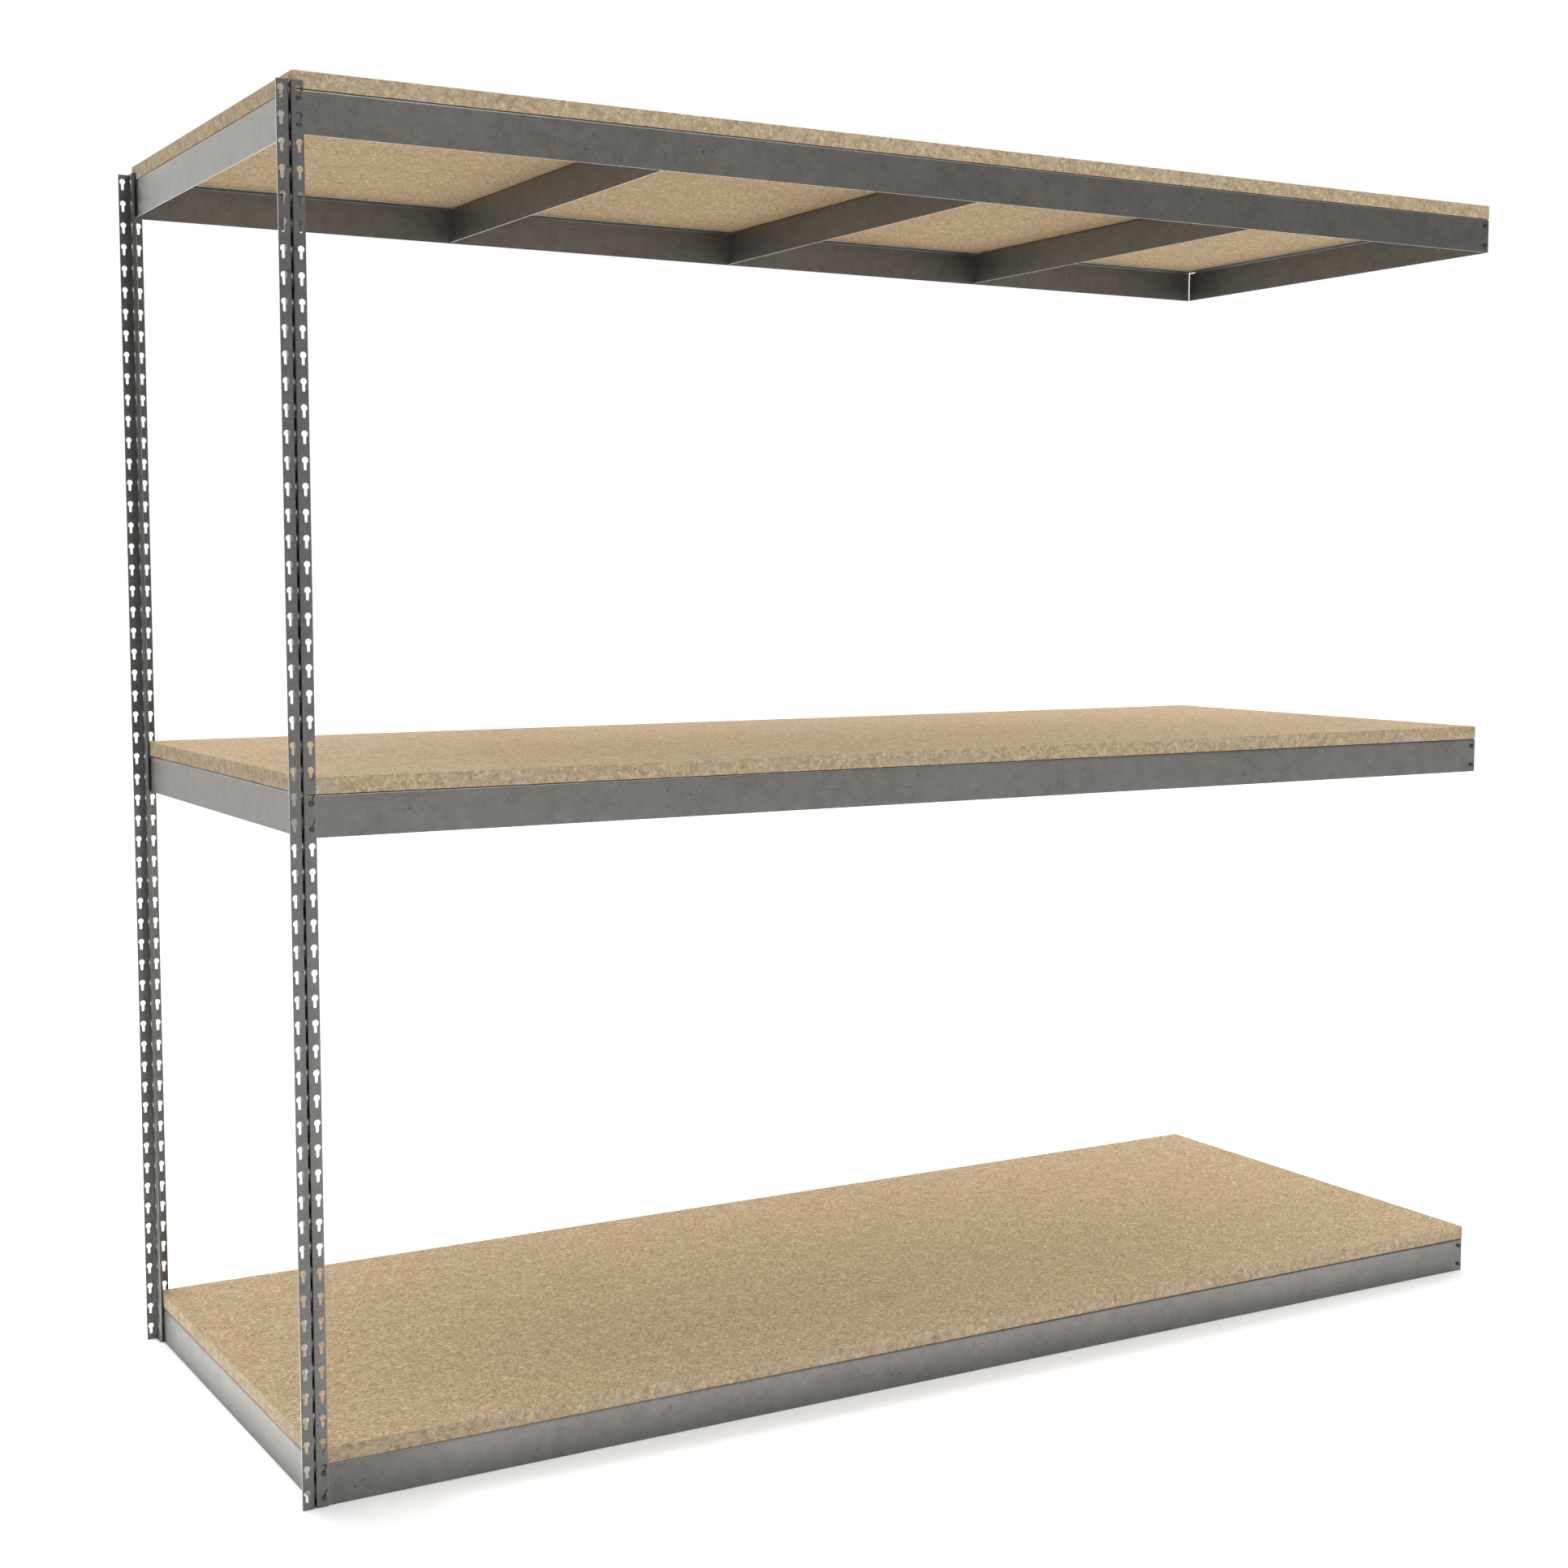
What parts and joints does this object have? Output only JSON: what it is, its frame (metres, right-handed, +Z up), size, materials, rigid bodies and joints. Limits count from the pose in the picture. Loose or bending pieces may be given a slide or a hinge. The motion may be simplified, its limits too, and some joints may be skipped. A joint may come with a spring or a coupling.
{
  "type": "boltless rivet shelving bay",
  "caption": "Add-on bay of boltless rivet shelving: tee posts with keyholes at one end, angle beams and cross supports under particle-board decks, open hook-on end.",
  "frame": {"origin": "centre of the bounding box in plan, at the floor under the posts", "axes": "+Z up, +X along the long beams from the tee posts to the open end, -Y towards the front"},
  "size_m": [2.4588, 0.9172, 2.1481],
  "materials": {
    "post_steel": "semi-gloss grey, with bright cut edges",
    "beam_steel": "semi-gloss grey with fine scuffs, with bright cut edges",
    "particle_board": "raw particle board, fine flakes, matt"
  },
  "bodies": {
    "frame": {"front_tee_post": "post_steel", "rear_tee_post": "post_steel", "top_front_beam": "beam_steel", "top_rear_beam": "beam_steel", "top_left_beam": "beam_steel", "top_right_beam": "beam_steel", "top_cross_support_1": "beam_steel", "top_cross_support_2": "beam_steel", "top_cross_support_3": "beam_steel", "middle_front_beam": "beam_steel", "middle_rear_beam": "beam_steel", "middle_left_beam": "beam_steel", "middle_right_beam": "beam_steel", "middle_cross_support_1": "beam_steel", "middle_cross_support_2": "beam_steel", "middle_cross_support_3": "beam_steel", "bottom_front_beam": "beam_steel", "bottom_rear_beam": "beam_steel", "bottom_left_beam": "beam_steel", "bottom_right_beam": "beam_steel", "bottom_cross_support_1": "beam_steel", "bottom_cross_support_2": "beam_steel", "bottom_cross_support_3": "beam_steel"},
    "top_deck_board": {"top_deck": "particle_board"},
    "middle_deck_board": {"middle_deck": "particle_board"},
    "bottom_deck_board": {"bottom_deck": "particle_board"}
  },
  "joints": [
    {"name": "top_deck_lift", "type": "slide", "parent": "frame", "child": "top_deck_board", "axis": [0, 0, 1], "range_m": [0, 0.12]},
    {"name": "middle_deck_lift", "type": "slide", "parent": "frame", "child": "middle_deck_board", "axis": [0, 0, 1], "range_m": [0, 0.3]},
    {"name": "bottom_deck_lift", "type": "slide", "parent": "frame", "child": "bottom_deck_board", "axis": [0, 0, 1], "range_m": [0, 0.3]}
  ]
}
